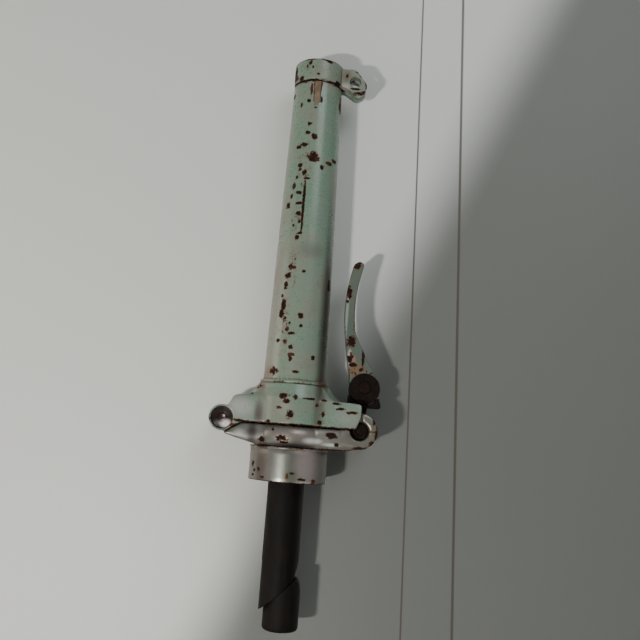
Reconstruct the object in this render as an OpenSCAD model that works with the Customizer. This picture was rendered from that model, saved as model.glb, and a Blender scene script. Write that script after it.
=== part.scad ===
/* [Clamp post] */
// Outer radius of the tapered tube at its base
tube_base_r = 22.3; // [20:0.1:26]
// Outer radius of the tapered tube under the clamp collar
tube_top_r = 17.6; // [15:0.1:22]
// Wall thickness of the tapered tube
tube_wall = 2.0; // [1.5:0.1:4]
// Height where the tube starts inside its socket
tube_foot_z = 46; // [44:0.5:60]
// Height of the seam between the tube and the clamp collar
collar_z = 287.5; // [250:0.5:330]
// Height of the clamp collar
collar_h = 17; // [10:0.5:30]
// Outer radius of the clamp collar
collar_r = 18.1; // [16:0.1:24]
// Width of the clamping slit
slit_w = 3.2; // [1.5:0.1:6]
// Height of the round end of the clamping slit
slit_end_z = 268; // [255:0.5:280]
// Radius of the round end of the clamping slit
slit_end_r = 2.9; // [1:0.1:5]

/* [Guide bush] */
// Radius of the hole that takes the handlebar post
bush_bore_r = 14.3; // [11:0.05:16]
// Outer radius of the bush
bush_r = 15.5; // [12:0.1:18]
// Height where the bush ends inside the tube
bush_foot_z = 258; // [240:0.5:280]
// Width of the key that shows in the front window
bush_key_w = 4.6; // [2:0.1:8]
// Height where the front window starts
window_z = 270.5; // [260:0.5:285]

/* [Clamp ears] */
// Distance of the ear holes from the tube axis
ear_x = 27; // [22:0.1:36]
// Height of the ear holes
ear_z = 292.4; // [285:0.1:302]
// Outer radius of an ear at its high end
ear_r = 7.6; // [6:0.1:12]
// Outer radius of an ear at its low end
ear_tip_r = 6.4; // [6:0.1:12]
// Radius of the hole through the ears
ear_hole_r = 4.1; // [2:0.05:6]
// Thickness of one ear
ear_t = 6.4; // [3:0.1:10]

/* [Hinge] */
// Height of the joint face between the two plates
split_z = 38.4; // [30:0.1:50]
// Gap between the two plates when closed
split_gap = 0.4; // [0.1:0.05:2]
// Radius of the round middle of the plates
boss_r = 27.2; // [24:0.1:34]
// Top of the upper plate around the middle
shoulder_z = 57.6; // [50:0.1:66]
// Height of the sloped shoulder above the plate
shoulder_h = 9.4; // [4:0.1:16]
// Top of the clamp end of the upper plate
clamp_top_z = 56.2; // [48:0.1:60]
// Top of the hinge end of the upper plate
hinge_top_z = 56.6; // [48:0.1:60]
// Where the upper plate ends on the clamp side
clamp_end_x = 48; // [42:0.1:52]
// Half depth of the plate arms
arm_y = 21; // [16:0.1:26]
// Underside of the lower plate
lower_z = 23.4; // [18:0.1:28]
// Distance of the fold axis from the tube axis
fold_x = -47; // [-56:0.1:-40]
// Height of the fold axis
fold_z = 40.3; // [34:0.1:46]
// Outer radius of the knuckles
knuckle_r = 9; // [6:0.1:12]
// Half length of the middle knuckle
mid_knuckle_y = 11.5; // [6:0.1:16]
// Radius of the hinge pin
pin_r = 5; // [3:0.1:7]
// Radius of the recess at each end of the hinge pin
recess_r = 7.6; // [5:0.1:8]
// Depth of the recess at each end of the hinge pin
recess_d = 5.5; // [1:0.1:6]

/* [Swing clamp] */
// Distance of the swing bolt pivot from the tube axis
pivot_x = 47.2; // [42:0.1:54]
// Height of the swing bolt pivot
pivot_z = 37.8; // [34:0.1:44]
// Outer radius of the fork ears
fork_r = 12.4; // [7:0.1:13]
// Outer half width of the fork
fork_y = 21.4; // [12:0.1:24]
// Outer half width of the fork where the upper plate covers it
fork_cover_y = 18.6; // [12:0.1:22]
// Half width of the open slot for the swing bolt
slot_y = 8.6; // [5:0.1:12]
// Radius of the pivot pin
pivot_r = 4; // [2:0.1:6]
// Radius of the swing bolt shank
bolt_r = 4; // [2:0.1:5]
// Radius of the recess at each end of the pivot pin
pivot_recess_r = 6.5; // [5:0.1:8]
// Distance of the cam pin from the tube axis
cam_x = 49.4; // [44:0.1:54]
// Height of the cam pin axis
cam_z = 68.4; // [60:0.1:74]
// Radius of the cam
cam_r = 10.8; // [7:0.1:13]
// Distance between the cam centre and its pin
cam_lift = 0.8; // [0.5:0.1:2.5]
// Radius of the cam pin
cam_pin_r = 4.2; // [3:0.1:6]
// Half width of the cam, the saddle and the lever
cam_y = 7.7; // [5:0.1:11]
// Thickness of the lever sheet
lever_t = 1.8; // [1:0.1:3]

/* [Steerer end] */
// Outer radius of the skirt over the headset
skirt_r = 27; // [22:0.1:32]
// Wall thickness of the skirt
skirt_wall = 2.6; // [1.5:0.1:5]
// Outer radius of the quill
quill_r = 12.7; // [11:0.05:14.5]
// Wall thickness of the quill
quill_wall = 2.2; // [1.5:0.1:4]
// Length of the quill below the skirt on its long side
quill_long = 87; // [60:1:120]
// Length of the quill below the skirt on its short side
quill_short = 63.5; // [40:1:100]
// Bottom of the expander wedge below the skirt
wedge_foot = 99.5; // [80:0.5:130]
// Sideways travel of the expander wedge along the oblique cut
wedge_shift = 3.2; // [0:0.1:4]
// Radius of the expander wedge
wedge_r = 12.3; // [10:0.05:14]
// Radius of the expander bolt
expander_r = 4; // [3:0.1:5]

/* [Hidden] */
$fn = 96;
eps = 0.01;
far = 200;
top_z = collar_z + collar_h;
run_fit = 0.05;
seat_z = 30;
washer_t = 1.6;
head_r = 6.5;
head_h = 6.2;
taper_h = collar_z - tube_foot_z;
upper_z = split_z + split_gap / 2;
lower_top_z = split_z - split_gap / 2;
cut_angle = atan((quill_long - quill_short) / (2 * quill_r));
cut_mid_z = -(quill_long + quill_short) / 2;
saddle_z = 54.7;
ear_high = [ear_x - 3.5, ear_z + 2.2];
ear_low = [ear_x + 2.3, ear_z - 3.2];
ear_lean = atan2(ear_low[1] - ear_high[1], ear_low[0] - ear_high[0]);
ear_turn = acos((ear_r - ear_tip_r) / norm(ear_low - ear_high));
ear_side = [
    for (e = [[ear_high, ear_r, 1], [ear_low, ear_tip_r, 1], [ear_low, ear_tip_r, -1], [ear_high, ear_r, -1]])
        e[0] + (e[1] - 0.1) * [cos(ear_lean + e[2] * ear_turn), sin(ear_lean + e[2] * ear_turn)]
];
cam_centre_z = cam_z - cam_lift;
bolt_lean = atan((cam_x - pivot_x) / (cam_z - pivot_z));
bolt_reach = norm([cam_x - pivot_x, cam_z - pivot_z]);
pivot_floor_y = fork_cover_y - 4;
hinge_floor_y = arm_y + 0.8 - recess_d;
quill_neck_r = 12.5;
quill_step_z = 20;
quill_relief_z = -54;
quill_nick = [[13.2, -51.8], [10, -66.25], [24, -66.25], [24, -51.8]];
wedge_nick = [
    [10.4, -64.6], [12.2, -65.4], [13.7, -67], [14.7, -69.6], [15.3, -73], [15.56, -77],
    [24, -77], [24, -58], [10.4, -58]
];
web_x = -33;
web_angle = atan((upper_z - fold_z) / (web_x - fold_x))
    - acos(knuckle_r / norm([web_x - fold_x, upper_z - fold_z]));
web_foot = [fold_x + (knuckle_r - 0.15) * cos(web_angle), fold_z + (knuckle_r - 0.15) * sin(web_angle)];
tip_top = [fold_x + (knuckle_r + 0.6) * cos(web_angle), fold_z + (knuckle_r + 0.6) * sin(web_angle)];
lens_mid_z = (lower_z + lower_top_z) / 2;
lens = [for (i = [-5:5]) [1 - 0.115 * pow(abs(i) / 5, 2.4), lens_mid_z + i * (lower_top_z - lower_z) / 10]];
lever_outer = [
    [54.6, 76.5], [54.0, 80.2], [51.5, 84.5], [48.8, 89.5], [46.3, 94.8], [43.6, 100.0],
    [41.4, 104.4], [40.0, 108.6], [39.1, 115.0], [38.7, 122.0], [38.9, 129.0],
    [39.5, 136.0], [40.4, 142.0], [41.8, 149.0], [43.3, 155.6]
];
lever_inner = [
    [42.6, 157.0], [40.6, 157.9], [38.4, 157.6], [36.4, 156.0], [35.2, 153.2], [33.8, 147.0],
    [32.6, 139.0], [31.9, 131.0], [31.7, 124.0], [32.0, 116.0], [32.8, 108.0], [33.9, 99.5],
    [35.3, 90.4], [36.7, 83.5], [38.0, 77.2], [38.6, 70.0]
];
pocket = [
    [50.4, 82.8], [47.2, 88.6], [44.7, 93.9], [42.0, 99.1], [39.7, 103.7], [38.3, 108.2],
    [37.3, 114.8], [36.9, 122.0], [37.1, 129.2], [37.7, 136.3], [38.6, 142.4], [39.8, 148.8],
    [40.4, 152.0], [28.0, 155.0], [26.0, 120.0], [28.0, 80.0]
];
mint = [0.52, 0.62, 0.55];
silver = [0.66, 0.68, 0.66];
dark = [0.2, 0.16, 0.13];
steel = [0.6, 0.58, 0.55];

// A round bar along Y between two depths
module bar_y(x, z, r, y0, y1) {
    translate([x, y1, z])
        rotate([90, 0, 0])
            cylinder(r = r, h = y1 - y0);
}

// An outline in X and Z, drawn through between two depths
module slab_y(points, y0, y1) {
    translate([0, y1, 0])
        rotate([90, 0, 0])
            linear_extrude(height = y1 - y0)
                polygon(points);
}

// A box from its lowest to its highest corner
module box(low, high) {
    translate(low)
        cube(high - low);
}

// An outline in Y and Z, drawn through between two X positions
module slab_x(points, x0, x1) {
    translate([x0, 0, 0])
        rotate([90, 0, 90])
            linear_extrude(height = x1 - x0)
                polygon(points);
}

// A round bar along the swing bolt, between two distances from its pivot
module bar_bolt(r, h0, h1) {
    translate([pivot_x, 0, pivot_z])
        rotate([0, bolt_lean, 0])
            translate([0, 0, h0])
                cylinder(r = r, h = h1 - h0);
}

// The clamping slit with its round end, on the lever side
module slit(reach) {
    box([8, -slit_w / 2, slit_end_z], [reach, slit_w / 2, top_z + 1]);
    translate([8, 0, slit_end_z])
        rotate([0, 90, 0])
            cylinder(r = slit_end_r, h = reach - 8);
}

module tapered_tube() {
    color(mint)
    difference() {
        rotate_extrude()
            polygon([
                [tube_base_r - tube_wall, tube_foot_z],
                [tube_base_r, tube_foot_z],
                [tube_base_r, shoulder_z + shoulder_h],
                [tube_top_r, collar_z - 1.2],
                [tube_top_r - 1, collar_z],
                [bush_r, collar_z],
                [bush_r, bush_foot_z],
                [tube_top_r - 1.4, bush_foot_z - 4]
            ]);
        slit(24);
        box([-2.5, -24, window_z], [2.5, -10, collar_z + 1]);
    }
}

module top_clamp_collar() {
    color(mint)
    difference() {
        rotate_extrude()
            polygon([
                [bush_r, collar_z],
                [collar_r - 1.6, collar_z],
                [collar_r, collar_z + 1.4],
                [collar_r, top_z - 1.2],
                [collar_r - 1.2, top_z],
                [bush_r, top_z]
            ]);
        slit(24);
    }
}

// One ear, between two depths
module ear(y0, y1) {
    difference() {
        union() {
            bar_y(ear_high[0], ear_high[1], ear_r, y0, y1);
            bar_y(ear_low[0], ear_low[1], ear_tip_r, y0, y1);
            slab_y(ear_side, y0, y1);
            box([bush_r + 1, y0, ear_z - 4.4], [ear_high[0], y1, ear_high[1] + ear_r - 0.15]);
        }
        bar_y(ear_x, ear_z, ear_hole_r, y0 - 1, y1 + 1);
        translate([0, 0, ear_z - 20])
            cylinder(r = collar_r, h = 40);
    }
}

module clamp_ear_front() {
    color(mint)
        ear(-slit_w / 2 - ear_t, -slit_w / 2);
}

module clamp_ear_back() {
    color(mint)
        ear(slit_w / 2, slit_w / 2 + ear_t);
}

module guide_bush() {
    color([0.5, 0.38, 0.24])
    difference() {
        union() {
            translate([0, 0, bush_foot_z])
                cylinder(r = bush_r, h = top_z - bush_foot_z);
            box([-bush_key_w / 2, -tube_top_r + 0.5, window_z + 0.4],
                [bush_key_w / 2, -bush_bore_r - 0.4, collar_z - 0.3]);
        }
        translate([0, 0, bush_foot_z - 1])
            cylinder(r = bush_bore_r, h = far);
        box([8, -1.1, bush_foot_z - 1], [24, 1.1, top_z + 1]);
    }
}

module tube_weld_bead() {
    color(mint)
        rotate_extrude()
            polygon([
                [tube_base_r, shoulder_z + shoulder_h],
                [tube_base_r + 1.7, shoulder_z + shoulder_h],
                [tube_base_r + 1.9, shoulder_z + shoulder_h + 1],
                [tube_base_r + 1.2, shoulder_z + shoulder_h + 2.2],
                [tube_base_r - 0.05, shoulder_z + shoulder_h + 2.8]
            ]);
}

// Clearance around the fold axis
module knuckle_room(y0, y1) {
    bar_y(fold_x, fold_z, knuckle_r + 0.6, y0, y1);
}

module upper_hinge_plate() {
    color(mint)
    difference() {
        union() {
            rotate_extrude()
                polygon([
                    [0, upper_z], [boss_r + 0.8, upper_z], [boss_r + 1, upper_z + 0.9],
                    [boss_r + 0.5, upper_z + 3], [boss_r + 0.1, upper_z + 6.5],
                    [boss_r, upper_z + 10], [boss_r, shoulder_z], [boss_r - 0.5, shoulder_z + 0.6],
                    [26.0, 60.2], [24.9, 63.0], [tube_base_r + 1.7, shoulder_z + shoulder_h],
                    [0, shoulder_z + shoulder_h]
                ]);
            intersection() {
                rotate_extrude()
                    polygon([
                        [0, 50], [36.5, 50], [34.2, 57.0], [31.4, 59.0], [29.0, 61.0],
                        [27.0, 63.2], [25.4, 65.6], [24.4, 67.0], [0, 67.0]
                    ]);
                slab_x([
                    [-20.8, 50], [-20.4, 55.6], [-19.4, 57.4], [-17, 60], [-15, 63], [-14, 67],
                    [14, 67], [15, 63], [17, 60], [19.4, 57.4], [20.4, 55.6], [20.8, 50]
                ], -30, 36);
            }
            intersection() {
                slab_y([
                    [web_x, upper_z], [0, upper_z], [0, shoulder_z], [-26, shoulder_z - 0.2],
                    [-33, hinge_top_z + 0.5], [-38.4, hinge_top_z], [-40.4, hinge_top_z - 1.2],
                    [-42.2, hinge_top_z - 5.2], [-43.6, fold_z + knuckle_r - 0.7],
                    [fold_x, fold_z + knuckle_r], [fold_x, fold_z], web_foot
                ], -arm_y - 1, arm_y + 1);
                slab_x([
                    [-arm_y - 0.7, 20], [-arm_y - 0.7, 40.2], [-arm_y, 45], [-arm_y, 54.8],
                    [-arm_y + 1.8, 60], [arm_y - 1.8, 60], [arm_y, 54.8], [arm_y, 45],
                    [arm_y + 0.7, 40.2], [arm_y + 0.7, 20]
                ], -60, 0);
            }
            intersection() {
                slab_y([
                    [0, upper_z], [44.6, upper_z], [45.6, 41.6], [47.2, 45.4],
                    [clamp_end_x, 49.4], [clamp_end_x - 0.2, clamp_top_z - 1.2],
                    [clamp_end_x - 1.4, clamp_top_z], [30, clamp_top_z + 0.8], [0, shoulder_z]
                ], -arm_y - 1, arm_y + 1);
                slab_x([
                    [-arm_y - 0.7, 20], [-arm_y - 0.7, 39.6], [-arm_y, 42.4], [-arm_y, 48.6],
                    [-arm_y + 2.6, 60], [arm_y - 2.6, 60], [arm_y, 48.6], [arm_y, 42.4],
                    [arm_y + 0.7, 39.6], [arm_y + 0.7, 20]
                ], 0, 60);
            }
            bar_y(fold_x, fold_z, knuckle_r, -arm_y - 0.8, -mid_knuckle_y - 0.3);
            bar_y(fold_x, fold_z, knuckle_r, mid_knuckle_y + 0.3, arm_y + 0.8);
        }
        knuckle_room(-mid_knuckle_y - 0.3, mid_knuckle_y + 0.3);
        bar_y(fold_x, fold_z, pin_r + run_fit, -far, far);
        bar_y(fold_x, fold_z, recess_r, -far, -hinge_floor_y);
        bar_y(fold_x, fold_z, recess_r, hinge_floor_y, far);
        bar_y(pivot_x, pivot_z, fork_r + 0.6, -fork_cover_y - 0.3, fork_cover_y + 0.3);
        box([34.2, -slot_y, 0], [80, slot_y, 100]);
        translate([0, 0, tube_foot_z])
            cylinder(r = tube_base_r, h = far);
        cylinder(r = 11, h = far);
    }
}

module lower_hinge_plate() {
    color(silver)
    difference() {
        union() {
            rotate_extrude()
                polygon(concat(
                    [[0, lower_z]],
                    [for (p = lens) [p[0] * (boss_r + 0.8), p[1]]],
                    [[0, lower_top_z]]
                ));
            intersection() {
                slab_y([
                    [-44.2, 29.5], [-36, 27.2], [-27, 25.0], [-21, lower_z],
                    [30, lower_z], [41, 24.0], [pivot_x, pivot_z - fork_r + 0.4],
                    [pivot_x, pivot_z], [pivot_x - 2, lower_top_z], [web_x + 0.5, lower_top_z],
                    tip_top, [fold_x + 1.6, fold_z - knuckle_r - 0.2]
                ], -arm_y - 1, arm_y + 1);
                slab_x(concat(
                    [for (p = lens) [-p[0] * (arm_y + 0.6), p[1]]],
                    [for (i = [10:-1:0]) [lens[i][0] * (arm_y + 0.6), lens[i][1]]]
                ), -60, 60);
            }
            bar_y(pivot_x, pivot_z, fork_r, -fork_y, fork_y);
            bar_y(fold_x, fold_z, knuckle_r, -mid_knuckle_y, mid_knuckle_y);
            slab_y([
                [fold_x, fold_z], [fold_x, fold_z - knuckle_r + 0.2], [-43.8, 29.9],
                [-40, 29.4], [-41.5, 31.8], [-42.9, 32.4]
            ], -mid_knuckle_y, mid_knuckle_y);
        }
        bar_y(fold_x, fold_z, knuckle_r + 0.8, -far, -mid_knuckle_y);
        bar_y(fold_x, fold_z, knuckle_r + 0.8, mid_knuckle_y, far);
        bar_y(fold_x, fold_z, pin_r + run_fit, -far, far);
        box([pivot_x - 9, -slot_y, 0], [80, slot_y, 100]);
        bar_y(pivot_x, pivot_z, pivot_r, -far, far);
        bar_y(pivot_x, pivot_z, pivot_recess_r, -far, -pivot_floor_y);
        bar_y(pivot_x, pivot_z, pivot_recess_r, pivot_floor_y, far);
        box([pivot_x - 20, fork_y, 0], [80, far, 100]);
        box([pivot_x - 20, -far, 0], [80, -fork_y, 100]);
        box([pivot_x - 20, fork_cover_y, lower_top_z], [clamp_end_x + 0.5, far, 100]);
        box([pivot_x - 20, -far, lower_top_z], [clamp_end_x + 0.5, -fork_cover_y, 100]);
        translate([0, 0, -1])
            cylinder(r = quill_neck_r, h = seat_z - 4 + 1);
        cylinder(r = expander_r + 0.5, h = far);
        translate([0, 0, seat_z])
            cylinder(r = 8.4, h = far);
    }
}

module headset_skirt() {
    color(silver)
        rotate_extrude()
            polygon([
                [quill_neck_r, lower_z],
                [quill_neck_r, lower_z - 2.6],
                [skirt_r - skirt_wall - 2.4, lower_z - 2.6],
                [skirt_r - skirt_wall, lower_z - 5],
                [skirt_r - skirt_wall, 0],
                [skirt_r - 0.4, 0],
                [skirt_r, 0.4],
                [skirt_r, lower_z - 2.2],
                [skirt_r - 0.8, lower_z - 0.6],
                [skirt_r - 1.4, lower_z]
            ]);
}

module skirt_weld_bead() {
    color(silver)
        rotate_extrude()
            polygon([
                [skirt_r - 0.8, lower_z - 0.6],
                [skirt_r, lower_z - 1.9],
                [skirt_r + 0.5, lower_z - 0.9],
                [skirt_r + 0.4, lower_z],
                [skirt_r - 1.4, lower_z]
            ]);
}

// Everything below the oblique cut of the quill, moved down by drop
module below_cut(drop) {
    translate([0, 0, cut_mid_z - drop])
        rotate([0, -cut_angle, 0])
            box([-60, -60, -80], [60, 60, 0]);
}

module quill_tube() {
    color(dark)
    difference() {
        union() {
            translate([0, 0, -quill_long - 2])
                cylinder(r = quill_r - 0.25, h = quill_long + 2 + quill_step_z);
            translate([0, 0, quill_relief_z])
                cylinder(r = quill_r, h = quill_step_z - quill_relief_z);
            cylinder(r = quill_neck_r, h = seat_z - 4);
        }
        translate([0, 0, -far])
            cylinder(r = quill_r - quill_wall, h = 2 * far);
        below_cut(0);
        slab_y(quill_nick, -far, far);
    }
}

module expander_wedge() {
    color(dark)
    difference() {
        intersection() {
            translate([wedge_shift, 0, 0])
                rotate_extrude()
                    polygon([
                        [0, -wedge_foot], [wedge_r - 2.2, -wedge_foot],
                        [wedge_r - 0.7, -wedge_foot + 0.7], [wedge_r, -wedge_foot + 2.2],
                        [wedge_r, 0], [0, 0]
                    ]);
            below_cut(0.35);
        }
        translate([0, 0, -far])
            cylinder(r = expander_r + run_fit, h = far);
        translate([wedge_shift, 0, -far])
            cylinder(r = expander_r + run_fit, h = far);
        box([0, -expander_r - run_fit, -far], [wedge_shift, expander_r + run_fit, 0]);
        slab_y(wedge_nick, -far, far);
    }
}

module expander_bolt() {
    color(steel)
    difference() {
        union() {
            translate([0, 0, -wedge_foot + 1.5])
                cylinder(r = expander_r, h = wedge_foot - 1.5 + seat_z + washer_t);
            translate([0, 0, seat_z + washer_t])
                cylinder(r = head_r, h = head_h);
        }
        translate([0, 0, seat_z + washer_t + 2.2])
            cylinder(r = 3.45, h = far, $fn = 6);
    }
}

module expander_washer() {
    color(steel)
        translate([0, 0, seat_z])
            difference() {
                cylinder(r = 7.8, h = washer_t - 0.05);
                translate([0, 0, -1])
                    cylinder(r = expander_r + 0.3, h = 4);
            }
}

module hinge_pin() {
    color(steel)
    difference() {
        union() {
            bar_y(fold_x, fold_z, pin_r, -hinge_floor_y - 2.2, hinge_floor_y + 2);
            bar_y(fold_x, fold_z, recess_r - 0.3, -hinge_floor_y - 2.2, -hinge_floor_y);
        }
        bar_y(fold_x, fold_z, 4.6, -arm_y, -hinge_floor_y - 0.8);
        bar_y(fold_x, fold_z, 3.2, -arm_y, -hinge_floor_y + 0.8);
    }
}

module hinge_pin_clip() {
    color(dark)
    difference() {
        bar_y(fold_x, fold_z, recess_r - 0.3, hinge_floor_y, hinge_floor_y + 1.1);
        bar_y(fold_x, fold_z, pin_r, -far, far);
    }
}

module swing_pivot_pin() {
    color(steel)
    difference() {
        union() {
            bar_y(pivot_x, pivot_z, pivot_r, -pivot_floor_y - 1.6, pivot_floor_y + 1.8);
            bar_y(pivot_x, pivot_z, pivot_recess_r - 0.3, -pivot_floor_y - 1.6, -pivot_floor_y);
        }
        bar_y(pivot_x, pivot_z, 2.6, -fork_y, -pivot_floor_y - 0.6);
    }
}

module swing_pivot_clip() {
    color(dark)
    difference() {
        bar_y(pivot_x, pivot_z, pivot_recess_r - 0.3, pivot_floor_y, pivot_floor_y + 1);
        bar_y(pivot_x, pivot_z, pivot_r, -far, far);
    }
}

module swing_bolt() {
    color(dark)
    difference() {
        union() {
            bar_y(pivot_x, pivot_z, 7, -6.5, 6.5);
            bar_bolt(bolt_r, 0, bolt_reach);
        }
        bar_y(pivot_x, pivot_z, pivot_r + run_fit, -far, far);
        bar_y(cam_x, cam_z, cam_pin_r, -far, far);
    }
}

module cam_pin() {
    color(steel)
        bar_y(cam_x, cam_z, cam_pin_r, -cam_y - 0.5, cam_y + 0.5);
}

module cam_saddle() {
    color(dark)
    difference() {
        slab_y([
            [38.4, saddle_z], [60.8, saddle_z], [61.3, 55.3], [61.2, 57.2], [60.4, 59.8],
            [59.8, 61.6], [50, 61.6], [50, 64.2], [39.4, 64.2], [38.3, 62.6], [38.1, 55.2]
        ], -cam_y, cam_y);
        bar_y(cam_x - 0.3, cam_centre_z, cam_r + 0.55, -far, far);
        bar_bolt(bolt_r + 0.3, 0, 40);
    }
}

module cam_head() {
    color(dark)
    difference() {
        union() {
            bar_y(cam_x, cam_centre_z, cam_r, -cam_y, cam_y);
            slab_y([
                [38.9, cam_centre_z + 2], [cam_x, cam_centre_z], [54.3, 76.8], [53.3, 80.2],
                [52.8, 80.9], [38.2, 82.2], [37.8, 80.6]
            ], -cam_y + lever_t + 0.2, cam_y - lever_t - 0.2);
        }
        bar_y(cam_x, cam_z, cam_pin_r + run_fit, -far, far);
        slab_y([
            [cam_x - 5.9, 40], [cam_x + 40, 40], [cam_x + 40, cam_z + 7],
            [cam_x + 8, cam_z + 5.4], [cam_x, cam_z + 4.9], [cam_x - 4.6, cam_z + 1.6]
        ], -bolt_r - 0.35, bolt_r + 0.35);
    }
}

module cam_lever() {
    color(mint)
    difference() {
        slab_y(concat(lever_outer, lever_inner), -cam_y, cam_y);
        slab_y(pocket, -cam_y + lever_t, cam_y - lever_t);
        slab_y([[30, 60], [60, 60], [60, 80.9], [30, 83.4]], -cam_y + lever_t, cam_y - lever_t);
        bar_y(cam_x, cam_centre_z, cam_r, -far, far);
    }
}

tapered_tube();
top_clamp_collar();
clamp_ear_front();
clamp_ear_back();
guide_bush();
tube_weld_bead();
upper_hinge_plate();
lower_hinge_plate();
headset_skirt();
skirt_weld_bead();
quill_tube();
expander_bolt();
expander_washer();
expander_wedge();
hinge_pin();
hinge_pin_clip();
swing_pivot_pin();
swing_pivot_clip();
swing_bolt();
cam_pin();
cam_saddle();
cam_head();
cam_lever();
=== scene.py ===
"""A folding handlebar post, finished in worn pale green and silver paint over rusty steel."""

import logging
import math
from dataclasses import dataclass, field, replace
from enum import Enum
import bmesh
import bpy
from mathutils import Matrix, Vector


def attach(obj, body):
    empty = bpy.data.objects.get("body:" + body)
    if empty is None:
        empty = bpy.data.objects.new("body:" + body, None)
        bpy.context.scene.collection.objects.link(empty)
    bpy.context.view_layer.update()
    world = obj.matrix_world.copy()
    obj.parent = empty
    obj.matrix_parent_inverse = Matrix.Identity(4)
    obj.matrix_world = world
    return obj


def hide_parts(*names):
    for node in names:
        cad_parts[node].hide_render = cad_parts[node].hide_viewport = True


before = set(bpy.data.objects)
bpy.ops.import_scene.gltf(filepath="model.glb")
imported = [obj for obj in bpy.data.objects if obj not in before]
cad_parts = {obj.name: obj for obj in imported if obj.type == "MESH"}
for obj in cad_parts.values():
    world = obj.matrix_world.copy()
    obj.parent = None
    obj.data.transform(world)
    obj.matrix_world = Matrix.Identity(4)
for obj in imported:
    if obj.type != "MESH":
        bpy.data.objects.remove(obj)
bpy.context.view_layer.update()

LOG = logging.getLogger("handlebar_post")
MM = 0.001
Point = tuple[float, float, float]
Outline = list[tuple[float, float]]


class Body(Enum):
    """The rigid bodies that pieces ride on."""

    LOWER = "lower_half"
    UPPER = "upper_half"
    SWING = "swing_clamp"
    LEVER = "lever"
    SCREW = "expander_screw"
    WEDGE = "wedge"


class Slot(Enum):
    """The record's material slots."""

    PAINT = "post_paint"
    SILVER = "silver_paint"
    BUSH = "bush_plastic"
    GREASE = "greased_steel"
    RUST = "rusted_steel"
    BARE = "bare_steel"


# ---------------------------------------------------------------- finishes


class Sheet:
    """A material's node tree, with short calls for the nodes that the finishes use."""

    def __init__(self, name: str) -> None:
        """Start an empty material with one Principled shader.

        Args:
            name: The material's name.
        """
        self.material = bpy.data.materials.new(name)
        self.material.use_nodes = True
        self.tree = self.material.node_tree
        self.tree.nodes.clear()
        self.shader = self.add("ShaderNodeBsdfPrincipled")
        out = self.add("ShaderNodeOutputMaterial")
        self.tree.links.new(self.shader.outputs[0], out.inputs[0])
        self.place = self.add("ShaderNodeTexCoord").outputs["Object"]

    def add(self, kind: str, **props: object) -> bpy.types.Node:
        """Add a node and set its properties.

        Args:
            kind: The node's type name.
            props: Properties to set on it.

        Returns:
            The new node.
        """
        node = self.tree.nodes.new(kind)
        for key, value in props.items():
            setattr(node, key, value)
        return node

    def feed(self, socket: bpy.types.NodeSocket, value: object) -> None:
        """Link a socket to an output, or set it to a plain value."""
        if isinstance(value, bpy.types.NodeSocket):
            self.tree.links.new(value, socket)
        else:
            socket.default_value = value

    def math(self, operation: str, *values: object, clamp: bool = False) -> bpy.types.NodeSocket:
        """Return the output of a Math node fed with these values."""
        node = self.add("ShaderNodeMath", operation=operation, use_clamp=clamp)
        for socket, value in zip(node.inputs, values):
            self.feed(socket, value)
        return node.outputs[0]

    def vector(self, operation: str, a: object, b: object) -> bpy.types.Node:
        """Return a Vector Math node fed with these two values."""
        node = self.add("ShaderNodeVectorMath", operation=operation)
        self.feed(node.inputs[0], a)
        self.feed(node.inputs[1], b)
        return node

    def stretched(self, scale: Point) -> bpy.types.NodeSocket:
        """Return the object coordinates, scaled along each axis."""
        return self.vector("MULTIPLY", self.place, scale).outputs[0]

    def noise(self, size_mm: float, detail: float = 5.0, rough: float = 0.55,
              place: object = None) -> bpy.types.NodeSocket:
        """Return a noise value from 0 to 1 whose features are about this size.

        Args:
            size_mm: The size of the largest features.
            detail: How many finer octaves it has.
            rough: How strong the finer octaves are.
            place: Coordinates to use in place of the object's own.

        Returns:
            The noise node's value output.
        """
        node = self.add("ShaderNodeTexNoise")
        self.feed(node.inputs["Vector"], self.place if place is None else place)
        node.inputs["Scale"].default_value = 1.0 / (size_mm * MM)
        node.inputs["Detail"].default_value = detail
        node.inputs["Roughness"].default_value = rough
        return node.outputs["Fac"]

    def step(self, value: object, low: float, high: float, to: float = 1.0) -> bpy.types.NodeSocket:
        """Return a smooth step from 0 at low to the given height at high."""
        node = self.add("ShaderNodeMapRange", interpolation_type="SMOOTHSTEP")
        self.feed(node.inputs["Value"], value)
        node.inputs["From Min"].default_value = min(low, high)
        node.inputs["From Max"].default_value = max(low, high)
        node.inputs["To Min"].default_value = 0.0 if low < high else to
        node.inputs["To Max"].default_value = to if low < high else 0.0
        return node.outputs["Result"]

    def mix(self, share: object, a: object, b: object) -> bpy.types.NodeSocket:
        """Return a colour between a and b by share."""
        node = self.add("ShaderNodeMix", data_type="RGBA")
        self.feed(node.inputs[0], share)
        self.feed(node.inputs[6], a)
        self.feed(node.inputs[7], b)
        return node.outputs[2]

    def blend(self, share: object, a: object, b: object) -> bpy.types.NodeSocket:
        """Return a number between a and b by share."""
        node = self.add("ShaderNodeMix", data_type="FLOAT")
        for index, value in zip((0, 2, 3), (share, a, b)):
            self.feed(node.inputs[index], value)
        return node.outputs[0]

    def height(self) -> bpy.types.NodeSocket:
        """Return the Z object coordinate in metres."""
        node = self.add("ShaderNodeSeparateXYZ")
        self.feed(node.inputs[0], self.place)
        return node.outputs[2]

    def bump(self, value: object, depth_mm: float, under: object = None) -> bpy.types.NodeSocket:
        """Return a bumped normal.

        Args:
            value: The height, from 0 to 1.
            depth_mm: The height in millimetres that 1 stands for.
            under: Another normal to start from.

        Returns:
            The bump node's normal output.
        """
        node = self.add("ShaderNodeBump")
        node.inputs["Strength"].default_value = 1.0
        node.inputs["Distance"].default_value = depth_mm * MM
        self.feed(node.inputs["Height"], value)
        if under is not None:
            self.feed(node.inputs["Normal"], under)
        return node.outputs[0]


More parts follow.
